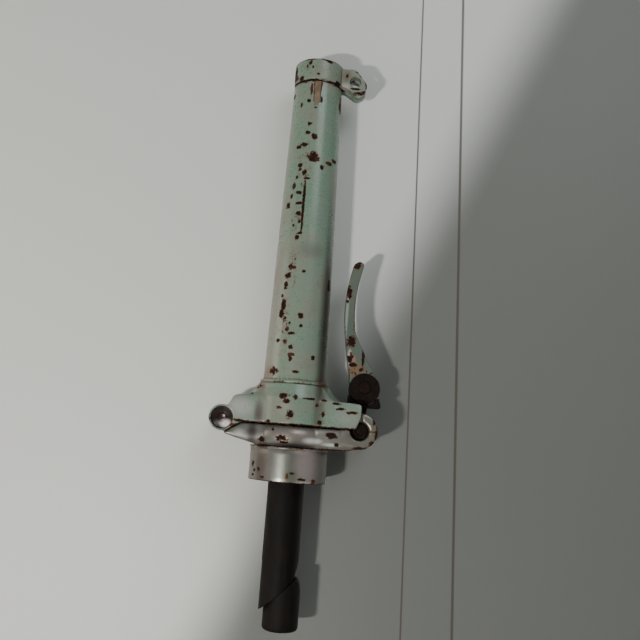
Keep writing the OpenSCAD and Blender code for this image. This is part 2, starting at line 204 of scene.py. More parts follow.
@dataclass(frozen=True)
class Mark:
    """One place: an ellipsoid around a centre, in millimetres. Alone it is a worn place; it also shapes the
    tones and the cup's painted highlight.
    """

    at: Point
    reach: Point
    depth: float = 0.3


@dataclass(frozen=True)
class Tone:
    """A patch of another colour, most at its centre. Some tones are stains and rust; others are painted
    highlights, painted reflections and painted shade, noted where they are listed.
    """

    mark: Mark
    colour: tuple[float, float, float, float]


@dataclass(frozen=True)
class Band:
    """A worn belt round the post, between two heights in millimetres."""

    z: float
    half: float
    depth: float = 0.1


def rgb(red: float, green: float, blue: float) -> tuple[float, float, float, float]:
    """Return an opaque linear colour."""
    return (red, green, blue, 1.0)


@dataclass(frozen=True)
class WornPaintAndLight:
    """Old paint with dark rust showing through chips, worn places and belts; its tones add stains and rust
    colours, and also painted highlights, painted reflections and painted shade.
    """

    name: str
    tint: tuple[float, float, float, float]
    faded: tuple[float, float, float, float]
    fleck: float = 0.02
    gloss: float = 0.34
    metal: float = 0.0
    wear: float = 0.16
    marks: tuple[Mark, ...] = ()
    bands: tuple[Band, ...] = ()
    tones: tuple[Tone, ...] = ()

    def build(self) -> bpy.types.Material:
        """Build the material.

        Returns:
            The finished material.
        """
        s = Sheet(self.name)
        ragged = s.noise(3.4, 6, 0.7)
        fine = s.noise(1.3, 4, 0.6)
        broad = s.noise(24, 3, 0.5)
        blots = s.noise(8, 5, 0.62)
        fray = s.math("ADD", s.math("MULTIPLY", ragged, 0.6), s.math("MULTIPLY", fine, 0.4))
        edge = s.add("ShaderNodeNewGeometry").outputs["Pointiness"]
        worn = s.math("MAXIMUM", s.step(edge, 0.51, 0.57, self.wear), s.step(broad, 0.4, 0.7, self.fleck))
        behind = s.step(s.vector("DOT_PRODUCT", s.place, (0, 1, 0)).outputs["Value"], 0.001, 0.01)
        worn = s.math("MAXIMUM", worn, s.math("MULTIPLY", s.step(blots, 0.55, 0.68, 0.24), behind))
        for mark in self.marks:
            worn = s.math("MAXIMUM", worn, self.mark(s, mark))
        for band in self.bands:
            worn = s.math("MAXIMUM", worn, self.belt(s, band))
        level = s.math("ADD", fray, worn)
        bare = s.step(level, 0.665, 0.685)
        halo = s.step(level, 0.56, 0.67)
        grime = s.step(s.math("ADD", s.math("MULTIPLY", broad, 0.6), s.math("MULTIPLY", fine, 0.4)),
                       0.42, 0.72)
        paint = s.mix(s.step(broad, 0.35, 0.65), self.tint, self.faded)
        paint = s.mix(s.math("MULTIPLY", grime, 0.35), paint, rgb(0.1, 0.075, 0.05))
        # Tones: stains and rust colours, and also painted highlights, painted reflections and painted shade
        # laid into the colour.
        for tone in self.tones:
            paint = s.mix(self.mark(s, tone.mark), paint, tone.colour)
        paint = s.mix(s.math("MULTIPLY", halo, 0.45), paint, rgb(0.13, 0.055, 0.025))
        rust = s.mix(s.step(level, 0.67, 0.73), rgb(0.075, 0.02, 0.009), rgb(0.012, 0.006, 0.004))
        rust = s.mix(s.step(blots, 0.54, 0.66, 0.65), rust, rgb(0.1, 0.032, 0.013))
        s.feed(s.shader.inputs["Base Color"], s.mix(bare, paint, rust))
        s.feed(s.shader.inputs["Roughness"],
               s.blend(bare, s.blend(grime, self.gloss, self.gloss + 0.18), 0.8))
        if self.metal:
            s.feed(s.shader.inputs["Metallic"], s.blend(bare, self.metal, 0.0))
        s.feed(s.shader.inputs["Specular IOR Level"], s.blend(bare, 0.5, 0.12))
        lumps = s.bump(broad, 0.4)
        peel = s.bump(s.math("SUBTRACT", s.math("MULTIPLY", ragged, 0.15), bare), 0.14, lumps)
        s.feed(s.shader.inputs["Normal"], s.bump(s.math("MULTIPLY", fine, bare), 0.22, peel))
        return s.material

    def part(self, low: float, high: float) -> "WornPaintAndLight":
        """Return this paint with only the worn places that reach between two heights in metres."""
        near = tuple(m for m in self.marks
                     if low / MM - 2 * m.reach[2] < m.at[2] < high / MM + 2 * m.reach[2])
        return replace(self, name=f"{self.name}_{low / MM:.0f}_{high / MM:.0f}", marks=near)

    @staticmethod
    def mark(s: Sheet, mark: Mark) -> bpy.types.NodeSocket:
        """Return how strongly a mark covers, most at its centre: the wear of a worn place, the share of a
        tone, and the share of the cup's painted highlight.
        """
        offset = s.vector("SUBTRACT", s.place, tuple(v * MM for v in mark.at)).outputs[0]
        share = s.vector("DIVIDE", offset, tuple(v * MM for v in mark.reach)).outputs[0]
        away = s.vector("LENGTH", share, (0, 0, 0)).outputs["Value"]
        return s.step(away, 1.75, 0.25, mark.depth)

    @staticmethod
    def belt(s: Sheet, band: Band) -> bpy.types.NodeSocket:
        """Return how worn a belt makes the paint, most at its middle."""
        away = s.math("ABSOLUTE", s.math("SUBTRACT", s.height(), band.z * MM))
        return s.step(away, band.half * MM * 1.4, band.half * MM * 0.3, band.depth)


@dataclass(frozen=True)
class RoughSteel:
    """Bare steel, from rust-free and worn to dark and rusty, with an optional painted highlight."""

    name: str
    dark: tuple[float, float, float, float]
    light: tuple[float, float, float, float]
    gloss: float
    metal: float
    grain_mm: float = 2.5
    depth_mm: float = 0.15
    shine: float = 0.5
    streak: Point = (1.0, 1.0, 1.0)
    rust: float = 0.0
    painted_highlight: Mark | None = None

    def build(self) -> bpy.types.Material:
        """Build the material.

        Returns:
            The finished material.
        """
        s = Sheet(self.name)
        place = s.stretched(self.streak)
        broad = s.noise(self.grain_mm * 4, 4, 0.6, place)
        fine = s.noise(self.grain_mm, 6, 0.65, place)
        both = s.math("ADD", s.math("MULTIPLY", broad, 0.5), s.math("MULTIPLY", fine, 0.5))
        colour = s.mix(s.step(both, 0.4, 0.62), self.dark, self.light)
        # Painted highlight: a near-white patch laid into the colour.
        if self.painted_highlight:
            colour = s.mix(WornPaintAndLight.mark(s, self.painted_highlight), colour, rgb(0.95, 0.88, 0.86))
        rusty = s.step(s.math("ADD", both, self.rust - 0.5), 0.5, 0.6)
        colour = s.mix(rusty, colour, s.mix(fine, rgb(0.05, 0.016, 0.008), rgb(0.2, 0.065, 0.02)))
        s.feed(s.shader.inputs["Base Color"], colour)
        s.feed(s.shader.inputs["Metallic"], s.blend(rusty, self.metal, 0.0))
        s.feed(s.shader.inputs["Roughness"],
               s.blend(rusty, s.blend(fine, self.gloss, self.gloss + 0.2), 0.85))
        s.shader.inputs["Specular IOR Level"].default_value = self.shine
        s.feed(s.shader.inputs["Normal"], s.bump(both, self.depth_mm))
        return s.material


@dataclass(frozen=True)
class PalePanel:
    """The plain pale surface behind or under the post."""

    name: str
    tint: tuple[float, float, float, float]
    one_sided: bool = False
    shade: tuple[float, float, float, float] | None = None
    seams: tuple[Point, ...] = ()

    def build(self) -> bpy.types.Material:
        """Build the material; a one-sided panel is clear from behind and lets light through.

        Returns:
            The finished material.
        """
        s = Sheet(self.name)
        s.shader.inputs["Roughness"].default_value = 0.5
        s.shader.inputs["Base Color"].default_value = self.tint
        if self.shade:
            node = s.vector("DOT_PRODUCT", s.place, (0.91, 0.0, -0.41))
            low = s.step(node.outputs["Value"], -0.03, 0.03)
            tone = s.mix(low, self.tint, self.shade)
            for lean, offset, half in self.seams:
                across = (math.cos(lean), 0.0, math.sin(lean))
                away = s.math("SUBTRACT", s.vector("DOT_PRODUCT", s.place, across).outputs["Value"], offset)
                dark = s.step(s.math("ABSOLUTE", away), half * 1.5, half * 0.6, 0.85)
                tone = s.mix(dark, tone, rgb(0.05, 0.035, 0.025))
            s.feed(s.shader.inputs["Base Color"], tone)
        if self.one_sided:
            clear = s.add("ShaderNodeBsdfTransparent")
            share = s.math("MAXIMUM", s.add("ShaderNodeNewGeometry").outputs["Backfacing"],
                           s.add("ShaderNodeLightPath").outputs["Is Shadow Ray"])
            mixer = s.add("ShaderNodeMixShader")
            s.feed(mixer.inputs[0], share)
            s.feed(mixer.inputs[1], s.shader.outputs[0])
            s.feed(mixer.inputs[2], clear.outputs[0])
            out = next(n for n in s.tree.nodes if n.type == "OUTPUT_MATERIAL")
            s.tree.links.new(mixer.outputs[0], out.inputs[0])
        return s.material


POST_PAINT = WornPaintAndLight(
    "worn_green_paint", rgb(0.128, 0.2, 0.145), rgb(0.17, 0.2, 0.155), gloss=0.27,
    marks=(
        Mark((-6.1, -19.7, 147.7), (1.3, 4, 1.3)), Mark((-9.1, -18.4, 148.9), (1.4, 4, 2.0)),
        Mark((0.5, -20.6, 145.1), (1.4, 4, 1.0)), Mark((-10.3, -18.0, 141.8), (2.6, 4, 2.4)),
        Mark((-11.0, -17.7, 135.9), (1.6, 4, 2.0)), Mark((-11.3, -17.6, 132.7), (1.3, 4, 1.3)),
        Mark((-11.6, -17.7, 121.7), (2.0, 4, 5.1)), Mark((-12.8, -17.0, 115.2), (1.9, 4, 3.7)),
        Mark((0.7, -21.3, 113.9), (1.7, 4, 2.0)), Mark((1.8, -21.4, 106.9), (1.1, 4, 1.0)),
        Mark((-7.7, -20.1, 103.9), (1.7, 4, 2.0)), Mark((-4.6, -21.1, 101.1), (2.6, 4, 1.1)),
        Mark((-13.5, -17.0, 95.9), (1.7, 4, 1.4)), Mark((-8.7, -19.9, 95.0), (1.7, 4, 1.7)),
        Mark((-4.4, -21.4, 91.5), (1.7, 4, 1.6)), Mark((-3.6, -21.6, 86.6), (2.6, 4, 1.3)),
        Mark((-3.7, -21.7, 83.5), (1.3, 4, 1.7)), Mark((0.5, -22.2, 74.7), (2.6, 4, 1.1)),
        Mark((11.5, -18.6, 85.6), (1.3, 4, 2.0)), Mark((18.9, -8.7, 138.4), (1.3, 4, 4.9)),
        Mark((-15.2, -16.2, 74.5), (3.4, 4, 3.1)), Mark((-3.7, -17.9, 254.0), (1.7, 4, 1.7)),
        Mark((-4.6, -17.9, 247.1), (1.7, 4, 1.4)), Mark((0.2, -18.5, 244.5), (2.4, 4, 2.7)),
        Mark((-6.7, -17.4, 238.2), (3.4, 4, 1.7)), Mark((-10.0, -15.8, 236.4), (2.0, 4, 1.4)),
        Mark((0.5, -18.8, 229.4), (4.4, 4, 3.8)), Mark((7.3, -17.5, 222.4), (1.4, 4, 2.0)),
        Mark((12.2, -14.5, 226.2), (2.7, 4, 1.4)), Mark((15.7, -10.4, 229.7), (1.7, 4, 1.7)),
        Mark((-8.3, -17.1, 222.5), (1.7, 4, 1.7)), Mark((-4.8, -18.5, 217.3), (2.0, 4, 2.0)),
        Mark((-8.1, -17.3, 219.5), (1.4, 4, 1.4)), Mark((-11.4, -15.6, 207.5), (1.4, 4, 2.4)),
        Mark((-7.8, -17.8, 202.4), (2.4, 4, 1.4)), Mark((-6.0, -18.6, 194.5), (3.8, 4, 1.2)),
        Mark((-6.6, -18.6, 187.2), (2.0, 4, 1.4)), Mark((-14.5, -13.2, 193.3), (1.7, 4, 2.4)),
        Mark((-6.2, -19.1, 169.3), (1.7, 4, 1.7)), Mark((-7.8, -19.1, 147.6), (1.7, 4, 1.7)),
        Mark((0.7, -20.6, 145.4), (1.4, 4, 1.0)), Mark((-3.6, -18.0, 193.0), (1.05, 4, 22.0), 0.34),
        Mark((-2.4, -18.6, 212.8), (2.6, 4, 1.0)), Mark((-4.6, -19.6, 172.6), (2.6, 4, 1.0)),
        Mark((-9.5, -18.5, 100.0), (5.0, 6, 22.0), 0.105),
        Mark((-7.0, -18.0, 222.0), (6.0, 6, 24.0), 0.1), Mark((-7.5, -18.0, 148.0), (4.0, 6, 16.0), 0.1),
        Mark((-22.5, -4.0, 70.0), (3.0, 14, 5.0), 0.16), Mark((-24.0, -10.0, 63.0), (4.0, 8, 2.5), 0.2),
        Mark((-28.0, -14.0, 58.0), (3.0, 8, 1.6), 0.22), Mark((-5.9, -26.6, 57.5), (3.1, 4, 2.3)),
        Mark((1.9, -27.2, 57.5), (1.6, 4, 1.7)), Mark((-3.8, -27.0, 54.5), (2.8, 4, 1.7)),
        Mark((-8.7, -25.9, 49.7), (2.3, 4, 1.1)), Mark((-1.0, -27.3, 45.8), (2.5, 4, 3.1)),
        Mark((-15.3, -22.6, 40.1), (1.7, 4, 1.0)), Mark((21.5, -21.0, 47.5), (1.3, 4, 2.3)),
        Mark((19.7, -21.0, 41.5), (2.3, 4, 1.4)), Mark((16.9, -21.4, 53.2), (1.3, 4, 1.3)),
        Mark((11.5, -24.8, 57.0), (5.6, 4, 0.9)), Mark((21.2, -21.0, 56.7), (2.5, 4, 0.9)),
        Mark((30.4, -21.0, 55.2), (3.4, 4, 0.9)), Mark((32.9, -21.0, 51.8), (3.7, 4, 0.9)),
        Mark((41.5, -21.0, 50.0), (3.9, 4, 1.1)), Mark((7.1, -16.7, 302.8), (2.4, 5, 1.4)),
        Mark((5.0, -17.4, 303.4), (5.0, 5, 0.9)), Mark((-7.0, -16.8, 303.6), (5.4, 6, 0.8)),
        Mark((-6.6, -16.8, 300.8), (1.5, 4, 1.9)), Mark((-4.8, -17.4, 297.4), (0.9, 4, 1.3)),
        Mark((-9.0, -15.7, 298.4), (0.9, 4, 1.2)), Mark((-17.1, -5.8, 297.0), (1.6, 5, 4.0)),
        Mark((-16.6, -7.3, 291.4), (3.0, 5, 2.6)), Mark((-12.4, -13.2, 289.8), (2.0, 4, 1.5)),
        Mark((-0.3, -18.1, 292.1), (1.2, 4, 0.9)), Mark((14.5, -11.0, 289.0), (2.6, 5, 1.4)),
        Mark((-4.4, -16.8, 280.5), (1.0, 4, 4.6)), Mark((-5.6, -16.6, 271.4), (1.5, 4, 1.5)),
        Mark((3.4, -17.5, 272.6), (0.8, 4, 3.2)), Mark((-10.8, -13.9, 268.9), (0.9, 4, 2.3)),
        Mark((-16.8, -5.3, 278.0), (0.9, 5, 1.9)), Mark((-0.4, -17.6, 266.6), (1.3, 4, 0.7)),
        Mark((17.0, -3.0, 274.0), (1.6, 6, 7.0)), Mark((-9.0, -18.0, 183.0), (4.0, 6, 14.0), 0.1),
        Mark((-5.4, -18.6, 181.0), (1.1, 4, 1.3)), Mark((-9.4, -17.4, 178.4), (0.9, 4, 1.5)),
        Mark((-9.8, -16.8, 214.0), (1.0, 4, 1.6)), Mark((-12.6, -15.0, 200.0), (0.9, 4, 1.9)),
        Mark((-12.9, -16.0, 127.5), (1.0, 4, 1.4)), Mark((-9.6, -18.2, 112.0), (1.0, 4, 1.2)),
        Mark((-6.3, -20.4, 108.5), (0.9, 4, 1.0)), Mark((-38.5, -21.5, 35.6), (6.0, 5, 1.6)),
        Mark((-36.0, -21.5, 39.0), (3.6, 5, 1.2)),
    ),
    bands=(
        Band(304.2, 1.6, 0.16), Band(287.5, 1.3, 0.24), Band(297, 8, 0.05), Band(279, 9, 0.05),
        Band(38.9, 0.8, 0.22), Band(67.2, 1.2, 0.12), Band(70.5, 2.0, 0.06),
    ),
    tones=(
        # Painted reflection: a pinkish-grey stripe down the tube's left edge. Painted shade: a dark stripe
        # down its right edge.
        Tone(Mark((-20.5, -8.0, 120.0), (4.2, 60, 70.0), 0.6), rgb(0.2, 0.165, 0.14)),
        Tone(Mark((18.6, -8.0, 110.0), (3.6, 60, 80.0), 0.85), rgb(0.03, 0.026, 0.015)),
        # Painted highlight: a pale patch on the upper plate's left arm. Painted reflection: the dark band
        # beside it, where the arm meets the boss.
        Tone(Mark((-35.0, -21.5, 47.5), (8.5, 6, 6.5), 0.75), rgb(0.31, 0.32, 0.29)),
        Tone(Mark((-22.4, -22.0, 45.5), (2.7, 8, 7.0), 0.85), rgb(0.055, 0.043, 0.038)),
        Tone(Mark((36.0, -21.5, 46.0), (9.0, 6, 4.5), 0.5), rgb(0.22, 0.24, 0.21)),
        Tone(Mark((-18.5, -15.0, 74.0), (4.0, 9, 4.0), 0.7), rgb(0.13, 0.07, 0.035)),
        Tone(Mark((5.0, -19.0, 161.0), (8.0, 6, 5.0), 0.4), rgb(0.055, 0.055, 0.045)),
        Tone(Mark((-26.0, -8.0, 65.0), (5.0, 14, 2.6), 0.65), rgb(0.13, 0.085, 0.055)),
        # Painted shade: dark on the right side of the weld and its flare.
        Tone(Mark((19.5, -12.0, 69.0), (3.2, 9, 5.0), 0.7), rgb(0.06, 0.035, 0.018)),
    ),
    wear=0.22,
)
EAR_PAINT = replace(
    POST_PAINT, name="worn_ear_paint", wear=0.4, bands=(), marks=(
        Mark((28.6, -8.0, 300.2), (2.4, 5, 0.8)), Mark((31.6, -8.0, 297.8), (1.5, 5, 1.1)),
        Mark((33.8, -8.0, 294.8), (1.0, 5, 1.8)), Mark((35.3, -8.0, 290.2), (0.9, 5, 3.2)),
        Mark((33.8, -8.0, 285.0), (2.4, 5, 1.4)), Mark((29.0, -8.0, 283.8), (3.6, 5, 1.0)),
        Mark((27.4, -8.0, 287.0), (4.2, 5, 0.8)), Mark((20.6, -8.0, 296.6), (0.9, 5, 1.6)),
    ),
    tones=(
        Tone(Mark((20.5, -8.0, 296.0), (3.2, 5, 4.2), 0.8), rgb(0.11, 0.07, 0.045)),
        # Painted highlights: a pinkish and a pale patch along the ear's lower edge.
        Tone(Mark((19.5, -8.0, 288.0), (3.4, 8, 2.6), 0.7), rgb(0.4, 0.32, 0.29)),
        Tone(Mark((30.5, -6.0, 282.6), (2.4, 3, 0.9), 0.8), rgb(0.6, 0.52, 0.5)),
    ),
)
SILVER_PAINT = WornPaintAndLight(
    "worn_silver_paint", rgb(0.185, 0.188, 0.168), rgb(0.13, 0.126, 0.108), gloss=0.3, metal=0.6,
    marks=(
        Mark((-18.8, -21.0, 27.6), (2.5, 4, 1.7)), Mark((-5.2, -26.8, 29.2), (5.1, 4, 2.0)),
        Mark((-3.3, -27.1, 26.6), (3.4, 4, 1.0)), Mark((31.9, -21.0, 27.5), (1.7, 4, 1.4)),
        Mark((28.0, -21.0, 33.7), (4.2, 4, 2.3)), Mark((-11.4, -24.8, 34.8), (1.1, 4, 1.1)),
        Mark((-23.0, -21.0, 10.6), (1.1, 4, 2.0)), Mark((-22.0, -21.0, 6.3), (1.4, 4, 1.4)),
        Mark((-19.3, -21.0, 7.6), (1.3, 4, 1.7)), Mark((10.2, -25.0, 2.7), (2.8, 4, 1.0)),
        Mark((18.7, -21.0, 1.5), (1.7, 4, 2.0)), Mark((-23.9, -21.0, 2.3), (1.1, 4, 1.1)),
        Mark((-18.5, -21.0, 23.4), (8.5, 4, 1.0)), Mark((58.6, -21.0, 36.5), (1.1, 5, 6.5)),
        Mark((56.0, -21.0, 30.0), (2.2, 5, 2.2)), Mark((49.5, -21.0, 26.2), (6.0, 5, 1.1)),
        Mark((56.6, -21.0, 44.6), (1.2, 5, 2.4)), Mark((30.0, -21.0, 23.8), (12.0, 5, 0.8)),
        Mark((-41.5, -11.5, 32.0), (3.0, 6, 1.2)), Mark((-23.6, -13.0, 11.0), (0.9, 4, 2.4)),
        Mark((-22.2, -15.4, 6.6), (1.2, 4, 1.4)), Mark((-23.0, -14.2, 3.6), (1.0, 4, 1.0)),
        Mark((-16.1, -21.7, 2.6), (1.8, 4, 0.8)), Mark((0.6, -27.0, 4.4), (1.2, 4, 2.4), 0.26),
        Mark((3.6, -27.0, 6.6), (2.0, 4, 0.8), 0.26),
    ),
    bands=(Band(38.0, 0.7, 0.2), Band(23.3, 1.0, 0.16), Band(0.1, 0.9, 0.16), Band(24.6, 1.2, 0.06)),
    tones=(
        # Painted reflection: a dark band on the lower plate's left end. Painted highlight: the pale patch
        # beside it.
        Tone(Mark((-25.5, -21.5, 31.0), (2.9, 6, 7.0), 0.85), rgb(0.035, 0.026, 0.024)),
        Tone(Mark((-34.0, -21.0, 31.5), (3.0, 6, 2.0), 0.6), rgb(0.45, 0.44, 0.41)),
        # Painted reflections: vertical bands round the skirt's front, dark and brown on the left, green in
        # the middle and pinkish on the right.
        Tone(Mark((-18.0, -20.0, 10.0), (3.6, 12, 16.0), 0.9), rgb(0.045, 0.038, 0.034)),
        Tone(Mark((-26.5, -12.0, 10.0), (3.0, 12, 16.0), 0.5), rgb(0.12, 0.085, 0.06)),
        Tone(Mark((1.0, -26.0, 11.0), (4.2, 12, 16.0), 0.45), rgb(0.1, 0.12, 0.1)),
        Tone(Mark((13.0, -24.0, 11.0), (7.0, 12, 16.0), 0.75), rgb(0.36, 0.3, 0.28)),
        Tone(Mark((2.6, -26.5, 5.0), (4.0, 8, 3.4), 0.7), rgb(0.09, 0.12, 0.08)),
        # Painted highlight along the skirt's bottom rim.
        Tone(Mark((13.0, -24.0, 0.6), (5.0, 8, 0.8), 0.8), rgb(0.5, 0.48, 0.45)),
        Tone(Mark((55.0, -21.5, 38.0), (7.0, 6, 9.0), 0.6), rgb(0.14, 0.13, 0.085)),
        # Painted reflection: a lighter tan band across the lower plate's front. Painted highlights: the two
        # near-white patches below it. Painted shade: the dark band where its underside curves in.
        Tone(Mark((8.0, -26.0, 32.5), (17.0, 9, 3.4), 0.5), rgb(0.33, 0.27, 0.24)),
        Tone(Mark((15.7, -25.0, 28.9), (5.0, 8, 1.7), 0.85), rgb(0.85, 0.83, 0.8)),
        Tone(Mark((28.0, -22.0, 27.0), (5.0, 8, 1.0), 0.6), rgb(0.7, 0.68, 0.64)),
        Tone(Mark((4.0, -27.0, 25.0), (13.0, 8, 1.4), 0.85), rgb(0.03, 0.03, 0.027)),
    ),
    wear=0.26,
)
LEVER_PAINT = WornPaintAndLight(
    "worn_lever_paint", rgb(0.062, 0.098, 0.073), rgb(0.075, 0.098, 0.075), fleck=0.03, wear=0.26,
    marks=(
        Mark((33.7, -7.7, 135.3), (2.1, 5, 5.0)), Mark((33.0, -7.7, 128.4), (1.3, 5, 1.3)),
        Mark((37.6, -7.7, 100.2), (3.3, 5, 4.2)), Mark((37.7, -7.7, 88.4), (2.0, 5, 4.2)),
        Mark((40.0, -7.7, 83.9), (2.6, 5, 1.6)), Mark((45.6, -7.7, 80.6), (1.6, 5, 1.6)),
        Mark((37.7, -7.7, 154.3), (3.3, 5, 2.2)), Mark((41.2, -7.7, 137.7), (0.8, 5, 8.4)),
        Mark((39.0, -7.7, 119.5), (0.8, 5, 12.5)), Mark((46.9, -7.7, 90.6), (1.1, 5, 9.8)),
    ),
    bands=(Band(79, 4, 0.14), Band(157, 1.5, 0.2)),
    tones=(
        Tone(Mark((42.0, -7.7, 80.5), (5.5, 6, 4.4), 0.85), rgb(0.15, 0.09, 0.04)),
        # Worn bare steel at the lever's root, painted as a bright pinkish highlight.
        Tone(Mark((37.2, -7.7, 88.5), (1.3, 6, 4.6), 0.95), rgb(0.8, 0.62, 0.58)),
        Tone(Mark((40.0, -7.7, 88.0), (1.5, 6, 2.4), 0.8), rgb(0.3, 0.12, 0.1)),
        Tone(Mark((33.2, -7.7, 120.0), (0.9, 6, 20.0), 0.5), rgb(0.35, 0.38, 0.34)),
    ),
)
# Greasy dark steel, made darker still as painted shade for the shadow over the quill's lower end.
GREASED_AND_SHADED = RoughSteel("greased_steel", rgb(0.002, 0.0015, 0.001), rgb(0.007, 0.0045, 0.0025), 0.55, 0.0,
                     grain_mm=3.0, depth_mm=0.12, shine=0.14, streak=(1.0, 1.0, 0.2), rust=0.01)
RUSTED = RoughSteel("dark_rusted_steel", rgb(0.004, 0.002, 0.001), rgb(0.011, 0.006, 0.004), 0.6, 0.0,
                    grain_mm=1.6, depth_mm=0.2, shine=0.1, rust=0.01)
BARE = RoughSteel("worn_bare_steel", rgb(0.07, 0.035, 0.02), rgb(0.34, 0.27, 0.23), 0.26, 0.9,
                  grain_mm=1.4, depth_mm=0.08, rust=0.06)
# The hinge pin's cupped end: dark steel with a painted highlight low in its dish.
CUPPED = RoughSteel("cup_steel_with_painted_highlight", rgb(0.012, 0.005, 0.003), rgb(0.035, 0.015, 0.009), 0.2, 0.25,
                    grain_mm=3.5, depth_mm=0.03, rust=0.01,
                    painted_highlight=Mark((-44.4, -17.0, 36.2), (3.2, 6, 2.5), 1.0))
GRIMY = RoughSteel("grimy_steel", rgb(0.006, 0.003, 0.002), rgb(0.018, 0.009, 0.006), 0.6, 0.1,
                   grain_mm=1.6, depth_mm=0.12, shine=0.1, rust=0.02)
BUSH = RoughSteel("aged_tan_plastic", rgb(0.1, 0.06, 0.03), rgb(0.19, 0.13, 0.075), 0.5, 0.0,
                  grain_mm=4.0, depth_mm=0.05)


class Palette:
    """Builds each finish once and hands it out by its name."""

    def __init__(self) -> None:
        """Start with no material built."""
        self.made: dict[str, bpy.types.Material] = {}

    def get(self, finish: object) -> bpy.types.Material:
        """Return the material of a finish, building it the first time."""
        if finish.name not in self.made:
            self.made[finish.name] = finish.build()
        return self.made[finish.name]


# ---------------------------------------------------------------- shaping


def spun(outline: Outline, steps: int = 144, bevel_mm: float = 0.5,
         fine_mm: float = 0.0) -> bmesh.types.BMesh:
    """Spin an outline of radius and height round Z into a closed solid.

    Args:
        outline: Corners of the outline in millimetres, in order.
        steps: How many steps a full turn has.
        bevel_mm: How much its hard rims are rounded.
        fine_mm: The longest run along the outline, or 0 to leave it.

    Returns:
        The solid.
    """
    bm = bmesh.new()
    verts = [bm.verts.new((r * MM, 0.0, z * MM)) for r, z in outline]
    edges = [bm.edges.new((verts[i - 1], verts[i])) for i in range(len(verts))]
    if fine_mm:
        for edge in edges:
            cuts = int(edge.calc_length() / (fine_mm * MM))
            if cuts:
                bmesh.ops.subdivide_edges(bm, edges=[edge], cuts=cuts)
    bmesh.ops.spin(bm, geom=bm.verts[:] + bm.edges[:], axis=(0, 0, 1), cent=(0, 0, 0),
                   angle=2 * math.pi, steps=steps, use_merge=True)
    bmesh.ops.remove_doubles(bm, verts=bm.verts, dist=1e-6)
    bmesh.ops.recalc_face_normals(bm, faces=bm.faces)
    if bevel_mm:
        round_edges(bm, bevel_mm)
    return bm


def round_edges(bm: bmesh.types.BMesh, width_mm: float, angle: float = 28.0, segments: int = 3) -> None:
    """Round every edge sharper than an angle."""
    sharp = [e for e in bm.edges if len(e.link_faces) == 2
             and e.calc_face_angle(0.0) > math.radians(angle)]
    bmesh.ops.bevel(bm, geom=sharp, offset=width_mm * MM, affect="EDGES", segments=segments,
                    profile=0.5, material=-1, clamp_overlap=True)


def along_y(bm: bmesh.types.BMesh, x: float, y: float, z: float) -> bmesh.types.BMesh:
    """Turn a solid spun round Z to lie along +Y and move it, in millimetres."""
    bmesh.ops.rotate(bm, verts=bm.verts, cent=(0, 0, 0), matrix=Matrix.Rotation(-math.pi / 2, 3, "X"))
    bmesh.ops.translate(bm, verts=bm.verts, vec=(x * MM, y * MM, z * MM))
    return bm


def block(low: Point, high: Point) -> bmesh.types.BMesh:
    """Return a box between two corners in millimetres."""
    bm = bmesh.new()
    size = [(b - a) * MM for a, b in zip(low, high)]
    mid = [(a + b) / 2 * MM for a, b in zip(low, high)]
    bmesh.ops.create_cube(bm, size=1.0, matrix=Matrix.Translation(mid) @ Matrix.Diagonal((*size, 1)))
    return bm


def plate(outline: Outline, y0: float, y1: float) -> bmesh.types.BMesh:
    """Extrude an outline of X and Z along Y, in millimetres."""
    bm = bmesh.new()
    face = bm.faces.new([bm.verts.new((x * MM, y0 * MM, z * MM)) for x, z in outline])
    side = bmesh.ops.extrude_face_region(bm, geom=[face])["geom"]
    moved = [v for v in side if isinstance(v, bmesh.types.BMVert)]
    bmesh.ops.translate(bm, verts=moved, vec=(0, (y1 - y0) * MM, 0))
    bmesh.ops.recalc_face_normals(bm, faces=bm.faces)
    return bm


def as_object(bm: bmesh.types.BMesh, name: str) -> bpy.types.Object:
    """Turn a bmesh into an object at the origin and free it."""
    mesh = bpy.data.meshes.new(name)
    bm.to_mesh(mesh)
    bm.free()
    obj = bpy.data.objects.new(name, mesh)
    bpy.context.scene.collection.objects.link(obj)
    return obj


def baked(obj: bpy.types.Object) -> bpy.types.Object:
    """Apply an object's modifiers to its mesh."""
    ready = obj.evaluated_get(bpy.context.evaluated_depsgraph_get())
    mesh = bpy.data.meshes.new_from_object(ready)
    obj.modifiers.clear()
    obj.data = mesh
    return obj


def cut(obj: bpy.types.Object, tools: list[bmesh.types.BMesh]) -> bpy.types.Object:
    """Cut solids out of an object.

    Args:
        obj: The object to cut.
        tools: The solids to take away.

    Returns:
        The same object, cut.
    """
    for tool in tools:
        cutter = as_object(tool, "cutter")
        mod = obj.modifiers.new("cut", "BOOLEAN")
        mod.operation, mod.solver, mod.object = "DIFFERENCE", "EXACT", cutter
        baked(obj)
        bpy.data.objects.remove(cutter)
    return obj


def cast_copy(node: str, name: str, voxel_mm: float, passes: int) -> bpy.types.Object:
    """Copy a CAD node and give it the soft corners of a cast or forged piece.

    Args:
        node: The CAD node to copy.
        name: The new object's name.
        voxel_mm: The size of the new mesh's faces.
        passes: How many times it is smoothed.

    Returns:
        The new object.
    """
    bm = bmesh.new()
    bm.from_mesh(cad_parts[node].data)
    bmesh.ops.remove_doubles(bm, verts=bm.verts, dist=1e-6)
    obj = as_object(bm, name)
    mod = obj.modifiers.new("skin", "REMESH")
    mod.mode, mod.voxel_size, mod.use_smooth_shade = "VOXEL", voxel_mm * MM, True
    baked(obj)
    bm = bmesh.new()
    bm.from_mesh(obj.data)
    for _ in range(passes):
        bmesh.ops.smooth_vert(bm, verts=bm.verts, factor=0.5, use_axis_x=True, use_axis_y=True,
                              use_axis_z=True)
    bm.to_mesh(obj.data)
    bm.free()
    return obj


